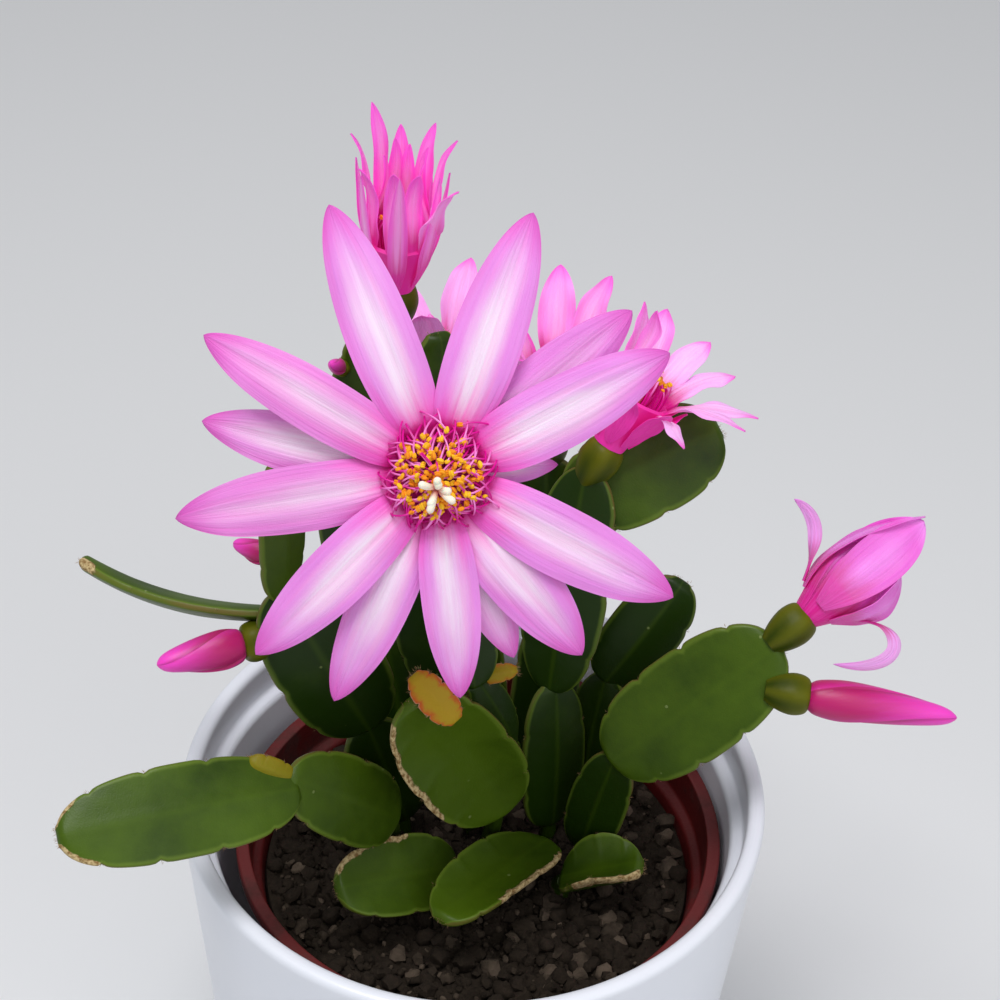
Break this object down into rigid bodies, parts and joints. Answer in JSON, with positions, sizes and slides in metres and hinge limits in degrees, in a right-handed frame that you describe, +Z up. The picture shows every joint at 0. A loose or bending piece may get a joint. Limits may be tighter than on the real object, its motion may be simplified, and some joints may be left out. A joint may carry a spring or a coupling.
{
  "type": "potted easter cactus",
  "caption": "Potted Easter cactus: leafless stems of flat scalloped segments with open pink star blooms and buds, in a plastic nursery pot of soil inside a glazed round cachepot.",
  "frame": {"origin": "centre of the cachepot's flat foot, where the pot stands", "axes": "+Z up; the front, where the large bloom looks, is -Y; +X is to the right seen from the front"},
  "size_m": [0.1378, 0.1023, 0.1946],
  "materials": {
    "glaze": "satin bluish white ceramic glaze",
    "terracotta_plastic": "red-brown thin moulded plastic, satin",
    "soil": "dark crumbly potting soil",
    "stem": "dark green waxy skin with tan corky margins",
    "young": "young yellow to orange segment",
    "petal": "lilac-pink petals, near white down the middle",
    "deep_petal": "hot pink petals",
    "bud": "deep magenta furled petals",
    "stamen": "magenta filaments with orange-yellow anthers",
    "stigma": "cream lobes on a pale style"
  },
  "bodies": {
    "root": {"cachepot": "glaze", "nursery_pot": "terracotta_plastic", "soil": "soil", "stem_left_arm": "stem", "stem_front_left": "stem", "stem_front": "stem", "stem_front_right": "stem", "stem_centre": "stem", "stem_bloom_front": "stem", "stem_right_back": "stem", "stem_right": "stem", "stem_right_inner": "stem", "stem_left_high": "stem", "stem_back_tip": "stem", "stem_bloom_top": "stem", "stem_bloom_back": "stem", "stem_bloom_middle": "stem", "young_pad_left": "young", "young_pad_centre": "young", "young_pad_back": "young", "bloom_front_petals": "petal", "bloom_front_stamens": "stamen", "bloom_front_stigma": "stigma", "bloom_top_petals": "deep_petal", "bloom_top_stamens": "stamen", "bloom_top_stigma": "stigma", "bloom_right_petals": "deep_petal", "bloom_right_stamens": "stamen", "bloom_right_stigma": "stigma", "bloom_back_petals": "deep_petal", "bloom_back_stamens": "stamen", "bloom_back_stigma": "stigma", "bloom_middle_petals": "deep_petal", "bloom_middle_stamens": "stamen", "bloom_middle_stigma": "stigma", "bloom_half_open": "deep_petal", "bud_right": "bud", "bud_left": "bud", "bud_left_small": "bud", "bud_top": "bud"}
  },
  "joints": []
}
